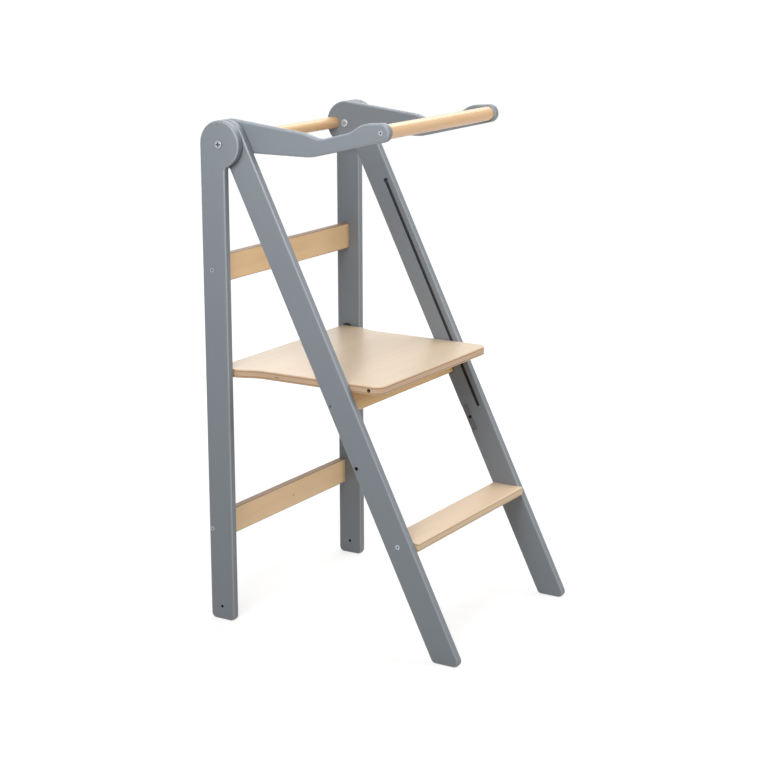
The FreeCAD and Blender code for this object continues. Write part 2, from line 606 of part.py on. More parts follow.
def make_dowels():
    for row, y, z in (("front", "Layout.front_dowel_y", "Layout.front_dowel_z"),
                      ("rear", "Layout.rear_dowel_y", "Sizes.pivot_height")):
        dowel = new_body(row.capitalize() + "Dowel")
        rod = dowel.newObject("PartDesign::AdditiveCylinder", dowel.Name + "Rod")
        rod.Placement = Placement(Vector(), Rotation(Vector(0, 1, 0), 90))
        rod.setExpression("Radius", f"Sizes.{row}_dowel_radius")
        rod.setExpression("Height", "Layout.dowel_length")
        place(rod, "-Layout.dowel_half_length")
        doc.recompute()
        end_holes(dowel, "Layout.dowel_half_length", "Layout.dowel_pilot")
        place(dowel, None, y, z)
        keep(dowel, f"guard_{row}_dowel")


# Metal and plastic parts. Each is made along its own Z and then turned to lie along X.

def turn(thing, way, x, y, z):
    """Point the thing's own Z along +X or -X and put its zero at (x, y, z)."""
    thing.Placement = Placement(Vector(), Rotation(Vector(0, 1, 0), 90 * way))
    place(thing, x, y, z)
    return thing


def cylinder(name, radius, height, start=None):
    shape = doc.addObject("Part::Cylinder", name)
    shape.setExpression("Radius", radius)
    shape.setExpression("Height", height)
    place(shape, z=start)
    return shape


def join(kind, name, base, tool):
    result = doc.addObject(kind, name)
    result.Base = base
    result.Tool = tool
    return result


def group(label, things):
    compound = doc.addObject("Part::Compound", label.title().replace("_", ""))
    compound.Links = things
    keep(compound, label)


def make_ring(name, radius, hole, thickness):
    disc = cylinder(name + "Disc", radius, thickness)
    return join("Part::Cut", name, disc, cylinder(name + "Hole", hole, thickness))


def make_screw(name):
    """Countersunk screw with a hexagon socket; its own zero is the middle of the head's face."""
    head = doc.addObject("Part::Cone", name + "Head")
    head.setExpression("Radius1", "Sizes.screw_head_radius")
    head.setExpression("Radius2", "Sizes.screw_shank")
    head.setExpression("Height", "Sizes.screw_head_height")
    shank = cylinder(name + "Shank", "Sizes.screw_shank", "Sizes.screw_length")
    socket = doc.addObject("Part::Prism", name + "Socket")
    socket.Polygon = 6
    socket.setExpression("Circumradius", "Sizes.socket_radius")
    socket.setExpression("Height", "Sizes.socket_depth")
    return join("Part::Cut", name, join("Part::Fuse", name + "Body", head, shank), socket)


def make_screws(label, face, places):
    """Screws with their heads flush in the outer faces on both sides, at (y, z) places."""
    screws = []
    for name, side in SIDES:
        for number, (y, z) in enumerate(places):
            screw = make_screw(label.title().replace("_", "") + name.capitalize() + str(number))
            screws.append(turn(screw, -side, sided(face, side), y, z))
    group(label, screws)


def make_flat_head(name, shank, length):
    """Fastener with a flat round head and a cross recess; zero is the underside of the head."""
    body = new_body(name)
    head = body.newObject("PartDesign::AdditiveCylinder", name + "Head")
    head.setExpression("Radius", "Sizes.bolt_head_radius")
    head.setExpression("Height", "Sizes.bolt_head_height")
    place(head, z="-Sizes.bolt_head_height")
    doc.recompute()
    rim_z = -value("Sizes.bolt_head_height")
    round_edges(body, "Rim", "Sizes.bolt_head_round",
                lambda edge: flat_in("z")(edge) and abs(edge.BoundBox.ZMin - rim_z) < TOLERANCE)
    stem = body.newObject("PartDesign::AdditiveCylinder", name + "Stem")
    stem.setExpression("Radius", shank)
    stem.setExpression("Height", length)
    doc.recompute()
    for row, across, along in (("Flat", "recess_length", "recess_width"),
                               ("Tall", "recess_width", "recess_length")):
        before = body.Shape.Volume
        slit = body.newObject("PartDesign::SubtractiveBox", name + row)
        slit.setExpression("Length", "Sizes." + across)
        slit.setExpression("Width", "Sizes." + along)
        slit.setExpression("Height", "Sizes.recess_depth")
        halves = ["-Layout." + size.replace("recess_", "recess_half_") for size in (across, along)]
        place(slit, halves[0], halves[1], "-Sizes.bolt_head_height")
        check_cut(body, before, slit.Name)
    return body


def make_pivots():
    bolts, nuts, spacers = [], [], []
    for name, side in SIDES:
        end = name.capitalize()
        where = ("Layout.pivot_y", "Sizes.pivot_height")
        bolt = make_flat_head("Bolt" + end, "Sizes.bolt_shank", "Sizes.bolt_reach")
        bolts.append(turn(bolt, -side, sided("Layout.rear_leg_outer", side), *where))
        nut = make_flat_head("Nut" + end, "Sizes.sleeve_radius", "Layout.sleeve_length")
        before = nut.Shape.Volume
        thread = nut.newObject("PartDesign::SubtractiveCylinder", nut.Name + "Thread")
        thread.setExpression("Radius", "Sizes.sleeve_bore")
        thread.setExpression("Height", "Layout.sleeve_length")
        check_cut(nut, before, thread.Name)
        nuts.append(turn(nut, side, sided("Layout.nut_seat", side), *where))
        for row, start in (("Outer", "Layout.outer_spacer"), ("Inner", "Layout.inner_spacer")):
            ring = make_ring("Spacer" + row + end, "Sizes.spacer_radius",
                             "Layout.pivot_hole_radius", "Layout.spacer_thickness")
            spacers.append(turn(ring, side, sided(start, side), *where))
    group("pivot_bolts", bolts)
    group("pivot_sleeve_nuts", nuts)
    group("pivot_spacers", spacers)


def make_platform_pins():
    hinge_pins, washers, guide_pins = [], [], []
    for name, side in SIDES:
        end = name.capitalize()
        pin = cylinder("HingePin" + end, "Sizes.pin_radius", "Layout.hinge_pin_length")
        hinge_pins.append(turn(pin, side, sided("Layout.hinge_pin_start", side),
                               "Layout.hinge_y", "Layout.hinge_z"))
        washer = make_ring("Washer" + end, "Sizes.washer_radius", "Layout.pin_hole_radius",
                           "Sizes.washer_thickness")
        washers.append(turn(washer, side, sided("Layout.washer_inner", side),
                            "Layout.hinge_y", "Layout.hinge_z"))
        pin = cylinder("GuidePin" + end, "Sizes.pin_radius", "Layout.guide_length")
        guide_pins.append(turn(pin, side, sided("Layout.guide_start", side),
                               "Layout.guide_y", "Layout.hinge_z"))
    group("platform_hinge_pins", hinge_pins)
    group("platform_hinge_washers", washers)
    group("guide_pins", guide_pins)


for name, side in SIDES:
    make_rear_leg(name, side)
    make_front_leg(name, side)
    make_arm(name, side)
make_slats()
make_step()
make_rail()
make_platform()
make_dowels()
make_pivots()
make_platform_pins()
make_screws("slat_screws", "Layout.rear_leg_outer",
            [("Layout.upper_slat_y", "Layout.upper_slat_z"),
             ("Layout.lower_slat_y", "Layout.lower_slat_z")])
make_screws("rail_screws", "Layout.front_leg_outer", [("Layout.rail_y", "Layout.rail_z")])
make_screws("step_screws", "Layout.front_leg_outer",
            [("Layout.step_screw_y", "Layout.step_z")])
make_screws("guard_screws", "Layout.arm_outer",
            [("Layout.front_dowel_y", "Layout.front_dowel_z"),
             ("Layout.rear_dowel_y", "Sizes.pivot_height")])
doc.recompute()

failed = [item.Name for item in doc.Objects if {"Invalid", "Error"} & set(item.State)]
assert not failed, "failed objects: " + ", ".join(failed)
for part in parts:
    assert not part.Shape.isNull() and part.Shape.isValid(), part.Label + " is not a valid shape"

os.makedirs("parts", exist_ok=True)
for part in parts:
    part.Shape.exportStep(f"parts/{part.Label}.step")
    box = part.Shape.BoundBox
    print(f"{part.Label}: {len(part.Shape.Solids)} solid(s), "
          f"{box.XLength:.1f} x {box.YLength:.1f} x {box.ZLength:.1f} mm")
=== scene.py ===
import json
import math

import bmesh
import bpy
from mathutils import Euler, Matrix, Vector


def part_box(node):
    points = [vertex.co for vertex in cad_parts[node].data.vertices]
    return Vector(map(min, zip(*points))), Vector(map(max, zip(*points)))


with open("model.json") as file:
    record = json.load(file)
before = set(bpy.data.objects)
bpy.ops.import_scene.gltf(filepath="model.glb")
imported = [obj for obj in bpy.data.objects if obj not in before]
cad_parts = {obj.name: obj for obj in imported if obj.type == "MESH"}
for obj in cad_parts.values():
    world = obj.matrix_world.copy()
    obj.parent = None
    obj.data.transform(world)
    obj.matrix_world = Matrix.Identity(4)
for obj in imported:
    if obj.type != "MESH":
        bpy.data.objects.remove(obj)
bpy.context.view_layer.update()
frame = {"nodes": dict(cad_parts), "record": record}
print("frame loaded:", len(frame["nodes"]), "nodes")

cameraPlace = {
    "spot": (-2.8115, -1.69838, 1.2361),  # metres, in the stool's own frame
    "turn": -58.580,  # degrees round +Z, 0 looks along +Y
    "tilt": 13.947,  # degrees down
    "roll": -0.143,
    "lens": 88.44,  # millimetres
    "sensor": 36.0,  # millimetres, square
}

studio = {
    "floorSize": 30.0,  # metres from the middle to each side
    "floorTone": 0.50,
    "bounceTone": (0.55, 0.50, 0.45),  # of the floor in the light that it throws back
    "floorGlow": 0.69,  # under the stool
    "farGlow": 0.95,  # of the backdrop round it
    "farFrom": 0.5,  # metres from the stool's middle
    "farTo": 2.2,
    "worldGlow": 0.15,  # of the surroundings, for all but straight looks and reflections
    "lampAim": (0.0, 0.0, 0.45),
}

# name: spot and diameter in metres, power in watts
lamps = {
    "left": ((-1.00, -0.10, 1.30), 0.8, 5.9),
    "window": ((-1.80, -0.30, 1.60), 1.2, 11.8),
    "front": ((0.62, -1.80, 1.30), 1.4, 17.5),
    "ceiling": ((0.95, 0.15, 2.00), 1.4, 15.0),
    "back": ((1.30, 1.50, 1.30), 1.4, 4.5),
}

paint = {
    "tone": (0.245, 0.276, 0.311),
    "sunkShadeTone": (0.175, 0.182, 0.190),  # painted shade on the floors of the housings
    "slotShadeTone": (0.125, 0.132, 0.145),  # painted shade inside the guide slots
    # painted shade inside the open holes
    "holeShadeTone": (0.018, 0.018, 0.018),
    "sunkFrom": 0.0003,  # metres under the broad faces, where the painted shade of sunk floors, slots and holes begins
    "sunkFull": 0.0006,
    "sunkBlur": 0.0002,  # of the outlines of slots and holes
    "edgePaintedShade": 0.10,  # painted shade on the narrow faces
    # painted highlight along the rounded edges of the boards
    "rimHighlightTone": (0.430, 0.475, 0.520),
    "rimRadius": 0.004,  # rounded edges of the painted boards
    "rimMiddle": 0.30,  # of that radius, in from the face
    "rimSpread": 0.32,
    "rimHighlightShare": 0.85,
    "broadFacing": (0.90, 0.98),  # how far a face looks along X
    "narrowFacing": (0.10, 0.80),
    "shade": 0.94,
    "cloudScale": 7.0,
    "cloudShade": 0.06,
    "streakStretch": (60.0, 60.0, 1.6),
    "streakShade": 0.05,
    "speckScale": 1500.0,
    "speckShade": 0.02,
    "fibreStretch": (900.0, 900.0, 14.0),
    "fibreHeight": 0.5,
    "peelScale": 420.0,
    "peelHeight": 0.5,
    "plies": 7,
    "seamHeight": 0.7,
    "grainHeight": 0.00010,
    "roughness": 0.37,
    "cloudRough": 0.10,
    "fibreRough": 0.04,
    "boreRough": 0.50,
    "gloss": 0.45,
    "coat": 0.15,
    "coatRough": 0.30,
}

birch = {
    "light": (0.795, 0.632, 0.456),
    "dark": (0.737, 0.554, 0.378),
    "fleck": (0.470, 0.300, 0.165),
    "edge": (0.720, 0.480, 0.320),
    "endGrain": (0.480, 0.290, 0.155),
    "glueLine": (0.330, 0.190, 0.110),
    # painted shade inside the spare pin holes
    "holeShadeTone": (0.020, 0.011, 0.004),
    "knotTone": (0.300, 0.170, 0.080),
    "edgeShare": 0.60,
    "edgeFacing": (0.90, 0.995),  # how far a broad face looks along the thickness
    "plies": 7,
    "plyFit": 0.998,  # keeps the broad faces inside the outer plies
    "outerPlies": (0.0015, 0.0030),  # metres from the board's middle
    "wideStretch": (2.2, 34.0, 30.0),
    "ringStretch": (5.0, 150.0, 90.0),
    "hairStretch": (30.0, 1100.0, 700.0),
    "crossStretch": (900.0, 30.0, 700.0),
    "toneStretch": (9.0, 9.0, 300.0),
    "poreScale": 650.0,
    "grainRange": (0.30, 0.75),
    "grainShare": 0.75,
    "fleckRange": (0.60, 0.80),
    "fleckShare": 0.25,
    "poreShare": 0.18,
    "glueWidth": 0.10,  # of a ply
    "glueShare": 0.30,
    "markSolid": 0.60,  # of a mark's size, before it fades
    "grainHeight": 0.00008,
    "roughness": 0.36,
    "wideRough": 0.12,
    "endRough": 0.10,
    "gloss": 0.5,
    "coat": 0.25,  # on the broad faces only
    "coatRough": 0.28,
}

upperBirch = dict(birch, light=(0.905, 0.635, 0.360), dark=(0.810, 0.530, 0.270),
                  edge=(0.300, 0.215, 0.170), edgeShare=0.90, gloss=0.3)

# painted light: a lighter copy of the slat birch for the lower slat, which gets less light
lowerBirchLit = dict(upperBirch, light=(0.965, 0.715, 0.440), dark=(0.905, 0.625, 0.345))

stepBirch = dict(birch, light=(0.920, 0.715, 0.505), dark=(0.850, 0.630, 0.415),
                 edge=(0.880, 0.700, 0.470), endGrain=(0.640, 0.440, 0.260))

railPine = dict(birch, light=(0.945, 0.680, 0.335), dark=(0.830, 0.535, 0.215))

beech = {
    "light": (0.915, 0.605, 0.330),
    "dark": (0.805, 0.490, 0.235),
    "fleck": (0.500, 0.270, 0.120),
    "wideStretch": (2.0, 60.0, 60.0),
    "lineStretch": (7.0, 420.0, 420.0),
    "rayStretch": (190.0, 1500.0, 1500.0),
    "grainRange": (0.30, 0.70),
    "rayRange": (0.66, 0.76),
    "rayShare": 0.45,
    "grainHeight": 0.00006,
    "roughness": 0.33,
    "wideRough": 0.10,
    "coat": 0.30,
    "coatRough": 0.25,
}

zinc = {
    # painted shade in the screw sockets
    "socketShadeTone": (0.030, 0.034, 0.040),
    "light": (1.00, 1.06, 1.16),  # times the piece's own tone
    "dark": (0.80, 0.86, 0.95),
    "cloudScale": 260.0,
    "scratchStretch": (200.0, 2600.0, 500.0),
    "scratchHeight": 0.00002,
    "floorBlur": 0.0001,  # metres, of a socket's floor
    "mouthBlur": 0.0002,
    "socketMetal": 0.5,
    "roughness": 0.26,
    "cloudRough": 0.16,
    "scratchRough": 0.08,
}

# tone of each metal piece, the distances from the middle plane between which its sockets lie, and
# how dark the painted shade in them is
metalPieces = {
    "pivot_bolts": (0.50, (0.2225, 0.2240), 0.85),
    "pivot_sleeve_nuts": (0.70, (0.1739, 0.1760), 0.40),
    "slat_screws": (0.40, (0.2195, 0.2223), 0.55),
    "step_screws": (0.52, (0.2035, 0.2063), 0.85),
    "guard_screws": (0.50, (0.1875, 0.1903), 0.85),
    "rail_screws": (0.24, (0.2035, 0.2063), 0.85),
    "platform_hinge_pins": (0.42, None, 0.0),
    "guide_pins": (0.42, None, 0.0),
}

nylon = {
    "cloudScale": 300.0,
    "shade": 0.85,
    "cloudShade": 0.30,
    "roughness": 0.42,
    "cloudRough": 0.16,
    "moulding": 1400.0,
    "mouldingHeight": 0.00003,
}

nylonPieces = {"pivot_spacers": 0.62, "platform_hinge_washers": 0.02}

boardThickness = 0.015
lean = math.radians(26.24)  # of the front legs and the rail

upright = (0.0, 0.0, 0.0)
leaned = (lean, 0.0, 0.0)
level = (math.pi / 2, 0.0, 0.0)
leanedRail = (math.pi / 2 + lean, 0.0, 0.0)

guideSlot = {
    "fromPivot": -0.026,  # metres, across the leg
    "halfWidth": 0.0046,
    "low": -0.5855,  # metres from the pivot, along the leg
    "high": -0.1243,
}

spareRailHole = {
    "fromPivot": 0.0030,
    "low": -0.5983,
    "radius": 0.0033,
}

# breadth, length and radius of the foot hole and the spare hinge hole
rearHoles = ((0.22662, 0.0254, 0.0028), (0.22862, 0.35435, 0.00305))

# place and size of the two spare pin holes, an edge void and a small knot
sparePinHoles = [((side * 0.1905, -0.0669, 0.4575), (0.060, 0.0040, 0.0040))
                 for side in (-1, 1)]
edgeVoid = ((-0.1905, 0.1205, 0.4567), (0.004, 0.0060, 0.0014))
slatKnot = ((0.0255, 0.2366, 0.1678), (0.0026, 0.0040, 0.0019))


class Wire:
    # one output socket; arithmetic on it adds Math nodes to its material
    def __init__(self, finish, socket):
        self.finish = finish
        self.socket = socket

    def reckon(self, operation, *terms):
        return self.finish.add("ShaderNodeMath", {"operation": operation}, dict(enumerate(terms)))

    def __add__(self, other):
        return self.reckon("ADD", self, other)

    def __radd__(self, other):
        return self.reckon("ADD", other, self)

    def __sub__(self, other):
        return self.reckon("SUBTRACT", self, other)

    def __rsub__(self, other):
        return self.reckon("SUBTRACT", other, self)

    def __mul__(self, other):
        return self.reckon("MULTIPLY", self, other)

    def __rmul__(self, other):
        return self.reckon("MULTIPLY", other, self)

    def __truediv__(self, other):
        return self.reckon("DIVIDE", self, other)

    def __mod__(self, other):
        return self.reckon("FLOORED_MODULO", self, other)

    def __abs__(self):
        return self.reckon("ABSOLUTE", self)

    def whole(self):
        return self.reckon("FLOOR", self)

    def rise(self, low, high):
        # 0 below low, 1 above high, smooth between
        return self.finish.add("ShaderNodeMapRange", {"interpolation_type": "SMOOTHSTEP"},
                               {"Value": self, "From Min": low, "From Max": high})

    def hump(self, centre, width):
        # 1 at centre and 0 from width on, both ways
        return 1.0 - abs(self - centre).rise(0.0, width)


class Finish:
    # a material, or the world's nodes, while it is put together
    def __init__(self, holder):
        holder.use_nodes = True
        self.holder = holder
        self.tree = holder.node_tree
        self.tree.nodes.clear()
        if isinstance(holder, bpy.types.Material):
            self.place = self.add("ShaderNodeTexCoord", {}, {}, "Object")
            self.facing = Wire(self, self.place.socket.node.outputs["Normal"])

    def add(self, kind, settings, inputs, out=0):
        node = self.tree.nodes.new(kind)
        for name, setting in settings.items():
            setattr(node, name, setting)
        for name, given in inputs.items():
            socket = node.inputs[name]
            if isinstance(given, Wire):
                self.tree.links.new(given.socket, socket)
            elif socket.type == "RGBA":
                socket.default_value = (*given, 1.0)
            else:
                socket.default_value = given
        return Wire(self, node.outputs[out]) if node.outputs else None

    def turned(self, angles, moved=(0.0, 0.0, 0.0)):
        return self.add("ShaderNodeMapping", {"vector_type": "POINT"},
                        {"Vector": self.place, "Location": moved, "Rotation": angles})

    def turnedFacing(self, angles):
        return self.add("ShaderNodeMapping", {"vector_type": "POINT"},
                        {"Vector": self.facing, "Rotation": angles})

    def stretched(self, vector, scale):
        return self.add("ShaderNodeMapping", {"vector_type": "POINT"},
                        {"Vector": vector, "Scale": scale})

    def axes(self, vector):
        split = self.add("ShaderNodeSeparateXYZ", {}, {"Vector": vector})
        return [Wire(self, output) for output in split.socket.node.outputs]

    def noise(self, vector, scale, detail=2.0, roughness=0.5, distortion=0.0):
        return self.add("ShaderNodeTexNoise", {}, {"Vector": vector, "Scale": scale,
                        "Detail": detail, "Roughness": roughness, "Distortion": distortion})

    def blendColour(self, share, first, second, mode="MIX"):
        return self.add("ShaderNodeMix", {"data_type": "RGBA", "blend_type": mode},
                        {0: share, 6: first, 7: second}, 2)

    def distance(self, vector, spot):
        return self.add("ShaderNodeVectorMath", {"operation": "DISTANCE"},
                        {0: vector, 1: spot}, "Value")

    def bump(self, height, distance):
        return self.add("ShaderNodeBump", {}, {"Height": height, "Distance": distance,
                                               "Strength": 1.0})

    def close(self, inputs):
        shader = self.add("ShaderNodeBsdfPrincipled", {}, inputs)
        self.add("ShaderNodeOutputMaterial", {}, {"Surface": shader})
        return self.holder


def nodeCentre(node):
    low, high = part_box(node)
    return (low + high) / 2


def paintedBoard(node, angles, slot=None, holes=()):
    # satin grey lacquer; angles turn the board's length to Z, its thickness lies along X;
    # slot is the breadth, half width and lengths of a guide slot, in the turned board, and
    # holes are the breadth, length and radius of open holes there
    finish = Finish(bpy.data.materials.new("lacquer_" + node))
    spot = finish.turned(angles)
    across, breadth, length = finish.axes(spot)
    offMiddle = abs(across - nodeCentre(node).x)
    half = boardThickness / 2
    # painted highlight along the rounded rims
    rimHighlight = offMiddle.hump(half - paint["rimMiddle"] * paint["rimRadius"],
                         paint["rimSpread"] * paint["rimRadius"])
    cloud = finish.noise(spot, paint["cloudScale"], 3.0)
    streak = finish.noise(finish.stretched(spot, paint["streakStretch"]), 1.0, 4.0, 0.6)
    speck = finish.noise(spot, paint["speckScale"], 1.0)
    colour = finish.blendColour(rimHighlight * paint["rimHighlightShare"], paint["tone"], paint["rimHighlightTone"])
    facingAcross = finish.axes(finish.facing)[0]
    # painted shade darkens the narrow faces
    narrow = 1.0 - abs(facingAcross).rise(*paint["narrowFacing"])
    shade = (paint["shade"] + paint["cloudShade"] * cloud + paint["streakShade"] * streak
             + paint["speckShade"] * speck - paint["edgePaintedShade"] * narrow)
    colour = finish.blendColour(1.0, colour, finish.add("ShaderNodeCombineColor", {},
                                {0: shade, 1: shade, 2: shade}), "MULTIPLY")
    inside = 1.0 - offMiddle.rise(half - paint["sunkFull"], half - paint["sunkFrom"])
    # painted shade on the sunk floors of the housings
    sunkShade = inside * abs(facingAcross).rise(*paint["broadFacing"])
    colour = finish.blendColour(sunkShade, colour, paint["sunkShadeTone"])
    blur = paint["sunkBlur"]
    if slot:
        middle, halfWidth, low, high = slot
        # painted shade inside the guide slot
        grooveShade = (1.0 - abs(breadth - middle).rise(halfWidth, halfWidth + 2 * blur)) * inside
        grooveShade = grooveShade * length.rise(low - blur, low) * (1.0 - length.rise(high, high + blur))
        colour = finish.blendColour(grooveShade, colour, paint["slotShadeTone"])
    bores = 0.0
    # painted shade inside the open holes
    for holeBreadth, holeLength, radius in holes:
        centre = (0.0, holeBreadth, holeLength)
        fromHole = finish.distance(finish.stretched(spot, (0.0, 1.0, 1.0)), centre)
        bored = inside * (1.0 - fromHole.rise(radius, radius + blur))
        colour = finish.blendColour(bored, colour, paint["holeShadeTone"])
        bores = bores + bored
    fibre = finish.noise(finish.stretched(spot, paint["fibreStretch"]), 1.0, 3.0, 0.65)
    peel = finish.noise(spot, paint["peelScale"], 2.0)
    ply = ((across - nodeCentre(node).x + half) / (boardThickness / paint["plies"])) % 1.0
    seam = ply.hump(0.5, 0.5) * offMiddle.rise(half, half - paint["rimRadius"])
    relief = (fibre * paint["fibreHeight"] + peel * paint["peelHeight"]
              + seam * paint["seamHeight"])
    return finish.close({
        "Base Color": colour,
        "Roughness": (paint["roughness"] + paint["cloudRough"] * cloud
                      + paint["fibreRough"] * fibre + paint["boreRough"] * bores),
        "Normal": finish.bump(relief, paint["grainHeight"]),
        "Specular IOR Level": paint["gloss"],
        "Coat Weight": paint["coat"] - paint["coat"] * bores,
        "Coat Roughness": paint["coatRough"],
    })


def plyBoard(node, angles, wood, marks=()):
    # clear lacquered plywood; angles turn the face grain to X and the thickness to Z;
    # marks are a place and size, a strength and a tone
    finish = Finish(bpy.data.materials.new("plywood_" + node))
    turnedCentre = Euler(angles).to_matrix() @ nodeCentre(node)
    spot = finish.turned(angles, tuple(-turnedCentre))
    depth = finish.axes(spot)[2]
    facingAlong, facingBreadth, facingDepth = finish.axes(finish.turnedFacing(angles))
    layer = (depth * wood["plyFit"] + boardThickness / 2) / (boardThickness / wood["plies"])
    crossed = layer.whole() % 2.0  # 1 in the plies whose grain runs across the board
    onEdge = 1.0 - abs(facingDepth).rise(*wood["edgeFacing"])
    wide = finish.noise(finish.stretched(spot, wood["wideStretch"]), 1.0, 3.0, 0.55, 0.6)
    ring = finish.noise(finish.stretched(spot, wood["ringStretch"]), 1.0, 3.0, 0.6, 0.3)
    hair = finish.noise(finish.stretched(spot, wood["hairStretch"]), 1.0, 2.0, 0.6)
    crossHair = finish.noise(finish.stretched(spot, wood["crossStretch"]), 1.0, 2.0, 0.6)
    fibre = hair + (crossHair - hair) * crossed * onEdge
    grain = (wide * 0.6 + ring * 0.4).rise(*wood["grainRange"])
    colour = finish.blendColour(grain * wood["grainShare"], wood["light"], wood["dark"])
    fleck = fibre.rise(*wood["fleckRange"]) * wood["fleckShare"]
    colour = finish.blendColour(fleck, colour, wood["fleck"])
    endOn = (abs(facingAlong) * (1.0 - crossed) + abs(facingBreadth) * crossed) * onEdge
    pore = finish.noise(spot, wood["poreScale"], 2.0, 0.7)
    plyTone = finish.noise(finish.stretched(spot, wood["toneStretch"]), 1.0, 2.0)
    colour = finish.blendColour(onEdge * wood["edgeShare"], colour, wood["edge"])
    outer = abs(depth).rise(*wood["outerPlies"])  # the two crossed plies next to the faces
    endShare = (onEdge * crossed * (0.20 + 0.65 * outer) * (0.65 + 0.70 * plyTone)
                + endOn * pore * wood["poreShare"])
    colour = finish.blendColour(endShare, colour, wood["endGrain"])
    inLayer = layer % 1.0
    joint = inLayer.hump(0.0, wood["glueWidth"]) + inLayer.hump(1.0, wood["glueWidth"])
    colour = finish.blendColour(joint * onEdge * wood["glueShare"], colour, wood["glueLine"])
    # marks paint the shade inside the spare pin holes, and the colour of a knot and an edge void
    for (place, size), strength, markTone in marks:
        near = finish.distance(finish.stretched(finish.place, tuple(1.0 / s for s in size)),
                               tuple(p / s for p, s in zip(place, size)))
        mark = (1.0 - near.rise(wood["markSolid"], 1.0)) * strength
        colour = finish.blendColour(mark, colour, markTone)
    relief = fibre * 0.6 + pore * endOn * 0.6 + (1.0 - joint * onEdge) * 0.5
    return finish.close({
        "Base Color": colour,
        "Roughness": wood["roughness"] + wood["wideRough"] * wide + wood["endRough"] * endOn,
        "Normal": finish.bump(relief, wood["grainHeight"]),
        "Specular IOR Level": wood["gloss"],
        "Coat Weight": wood["coat"] * (1.0 - onEdge),
        "Coat Roughness": wood["coatRough"],
    })


def turnedRod(node):
    # beech dowel along X with the short dark rays of the wood
    finish = Finish(bpy.data.materials.new("beech_" + node))
    spot = finish.turned((0.0, 0.0, 0.0), tuple(-nodeCentre(node)))
    wide = finish.noise(finish.stretched(spot, beech["wideStretch"]), 1.0, 3.0, 0.55, 0.5)
    line = finish.noise(finish.stretched(spot, beech["lineStretch"]), 1.0, 3.0, 0.6)
    ray = finish.noise(finish.stretched(spot, beech["rayStretch"]), 1.0, 1.0)
    grain = (wide * 0.6 + line * 0.4).rise(*beech["grainRange"])
    colour = finish.blendColour(grain, beech["light"], beech["dark"])
    fleck = ray.rise(*beech["rayRange"]) * beech["rayShare"]
    colour = finish.blendColour(fleck, colour, beech["fleck"])
    return finish.close({
        "Base Color": colour,
        "Roughness": beech["roughness"] + beech["wideRough"] * wide,
        "Normal": finish.bump(line * 0.6 + ray * 0.4, beech["grainHeight"]),
        "Coat Weight": beech["coat"],
        "Coat Roughness": beech["coatRough"],
    })


def zincPiece(node, tone, sockets, socketShade):
    # sockets are their floors' and mouths' distances from the middle plane; painted shade darkens
    # the sockets between them
    finish = Finish(bpy.data.materials.new("zinc_" + node))
    across = abs(finish.axes(finish.place)[0])
    cloud = finish.noise(finish.place, zinc["cloudScale"], 3.0, 0.6)
    scratch = finish.noise(finish.stretched(finish.place, zinc["scratchStretch"]), 1.0, 2.0)
    colour = finish.blendColour(cloud, tuple(tone * share for share in zinc["dark"]),
                                tuple(tone * share for share in zinc["light"]))
    sunkShade = 0.0
    if sockets:
        floor, mouth = sockets
        # painted shade in the sockets, between their floors and mouths
        sunkShade = across.rise(floor, floor + zinc["floorBlur"]) * (
            1.0 - across.rise(mouth - zinc["mouthBlur"], mouth))
        colour = finish.blendColour(sunkShade * socketShade, colour, zinc["socketShadeTone"])
    return finish.close({
        "Base Color": colour,
        "Metallic": 1.0 - (1.0 - zinc["socketMetal"]) * sunkShade,
        "Roughness": (zinc["roughness"] + zinc["cloudRough"] * cloud
                      + zinc["scratchRough"] * scratch),
        "Normal": finish.bump(scratch, zinc["scratchHeight"]),
    })


def nylonPiece(node, tone):
    finish = Finish(bpy.data.materials.new("nylon_" + node))
    cloud = finish.noise(finish.place, nylon["cloudScale"], 2.0)
    grey = (nylon["shade"] + nylon["cloudShade"] * cloud) * tone
    moulding = finish.noise(finish.place, nylon["moulding"], 2.0)
    return finish.close({
        "Base Color": finish.add("ShaderNodeCombineColor", {}, {0: grey, 1: grey, 2: grey}),
        "Roughness": nylon["roughness"] + nylon["cloudRough"] * cloud,
        "Normal": finish.bump(moulding, nylon["mouldingHeight"]),
    })


def dress(node, material):
    slots = frame["nodes"][node].data.materials
    slots.clear()
    slots.append(material)


pivot = Vector(next(joint["pos_m"] for joint in frame["record"]["behaviour"]["joints"]
                    if joint["name"] == "fold"))
turnedPivot = Euler(leaned).to_matrix() @ pivot
slotPlace = (turnedPivot.y + guideSlot["fromPivot"], guideSlot["halfWidth"],
             turnedPivot.z + guideSlot["low"], turnedPivot.z + guideSlot["high"])
railHole = (turnedPivot.y + spareRailHole["fromPivot"], turnedPivot.z + spareRailHole["low"],
            spareRailHole["radius"])
for side in ("left", "right"):
    dress("rear_leg_" + side, paintedBoard("rear_leg_" + side, upright, holes=rearHoles))
    dress("front_leg_" + side, paintedBoard("front_leg_" + side, leaned, slotPlace, [railHole]))
    dress("guard_arm_" + side, paintedBoard("guard_arm_" + side, level))
print("grey boards painted")

# painted shade inside the spare pin holes
platformMarks = [(hole, 1.0, birch["holeShadeTone"]) for hole in sparePinHoles]
platformMarks.append((edgeVoid, 0.8, birch["knotTone"]))
dress("platform", plyBoard("platform", upright, birch, platformMarks))
dress("step_tread", plyBoard("step_tread", upright, stepBirch))
dress("upper_rear_slat", plyBoard("upper_rear_slat", level, upperBirch))
dress("lower_rear_slat", plyBoard("lower_rear_slat", level, lowerBirchLit,
                                  [(slatKnot, 0.65, birch["knotTone"])]))
dress("platform_rail", plyBoard("platform_rail", leanedRail, railPine))
for node in ("guard_front_dowel", "guard_rear_dowel"):
    dress(node, turnedRod(node))
print("clear wood finished")

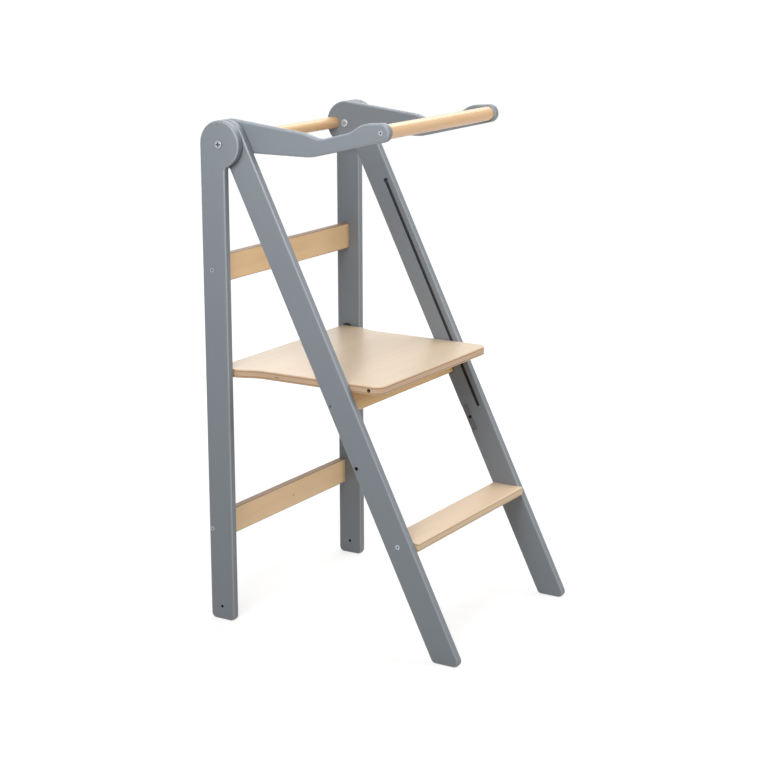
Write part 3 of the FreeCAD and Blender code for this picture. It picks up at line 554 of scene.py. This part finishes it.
for node, (tone, sockets, socketShade) in metalPieces.items():
    dress(node, zincPiece(node, tone, sockets, socketShade))
for node, tone in nylonPieces.items():
    dress(node, nylonPiece(node, tone))
print("metal and nylon finished")


def seenDirectly(finish):
    # 1 for what the camera, a gloss or a glass sees, 0 for the light itself
    path = finish.add("ShaderNodeLightPath", {}, {}).socket.node.outputs
    camera, glossy, through = (Wire(finish, path[ray]) for ray in (
        "Is Camera Ray", "Is Glossy Ray", "Is Transmission Ray"))
    return camera.reckon("MAXIMUM", camera.reckon("MAXIMUM", camera, glossy), through)


def makeFloor():
    mesh = bpy.data.meshes.new("floor")
    sheet = bmesh.new()
    bmesh.ops.create_grid(sheet, x_segments=1, y_segments=1, size=studio["floorSize"])
    sheet.to_mesh(mesh)
    sheet.free()
    floor = bpy.data.objects.new("floor", mesh)
    bpy.context.scene.collection.objects.link(floor)
    finish = Finish(bpy.data.materials.new("floor"))
    matt = finish.add("ShaderNodeBsdfDiffuse", {}, {"Color": (studio["floorTone"],) * 3})
    away = finish.distance(finish.place, (0.0, 0.0, 0.0)).rise(studio["farFrom"], studio["farTo"])
    white = finish.blendColour(away, (studio["floorGlow"],) * 3, (studio["farGlow"],) * 3)
    glow = finish.add("ShaderNodeEmission", {}, {"Color": white, "Strength": 1.0})
    lit = finish.add("ShaderNodeAddShader", {}, {0: matt, 1: glow})
    warm = finish.add("ShaderNodeBsdfDiffuse", {}, {"Color": studio["bounceTone"]})
    both = finish.add("ShaderNodeMixShader", {}, {0: seenDirectly(finish), 1: warm, 2: lit})
    finish.add("ShaderNodeOutputMaterial", {}, {"Surface": both})
    mesh.materials.append(finish.holder)


def makeWorld():
    world = bpy.data.worlds.new("studio")
    finish = Finish(world)
    bpy.context.scene.world = world
    grey = finish.blendColour(seenDirectly(finish), (studio["worldGlow"],) * 3, (1.0, 1.0, 1.0))
    sky = finish.add("ShaderNodeBackground", {}, {"Color": grey, "Strength": 1.0})
    finish.add("ShaderNodeOutputWorld", {}, {"Surface": sky})


def makeLamp(name, spot, size, power):
    lamp = bpy.data.lights.new(name, "AREA")
    lamp.shape = "DISK"
    lamp.size = size
    lamp.energy = power
    holder = bpy.data.objects.new(name, lamp)
    bpy.context.scene.collection.objects.link(holder)
    towards = (Vector(studio["lampAim"]) - Vector(spot)).to_track_quat("-Z", "Y")
    holder.matrix_world = Matrix.Translation(spot) @ towards.to_matrix().to_4x4()


def makeCamera():
    turn, tilt, roll = (math.radians(cameraPlace[k]) for k in ("turn", "tilt", "roll"))
    back = Vector((math.sin(turn) * math.cos(tilt), -math.cos(turn) * math.cos(tilt),
                   math.sin(tilt)))
    right = Vector((math.cos(turn), math.sin(turn), 0.0))
    up = back.cross(right)
    rolledRight = math.cos(roll) * right + math.sin(roll) * up
    rolledUp = -math.sin(roll) * right + math.cos(roll) * up
    lensData = bpy.data.cameras.new("camera")
    lensData.lens = cameraPlace["lens"]
    lensData.sensor_width = cameraPlace["sensor"]
    lensData.sensor_height = cameraPlace["sensor"]
    camera = bpy.data.objects.new("camera", lensData)
    bpy.context.scene.collection.objects.link(camera)
    turnMatrix = Matrix((rolledRight, rolledUp, back)).transposed().to_4x4()
    camera.matrix_world = Matrix.Translation(cameraPlace["spot"]) @ turnMatrix
    bpy.context.scene.camera = camera


makeFloor()
makeWorld()
for name, settings in lamps.items():
    makeLamp(name, *settings)
makeCamera()
bpy.context.scene.view_settings.view_transform = "Standard"
print("studio ready")
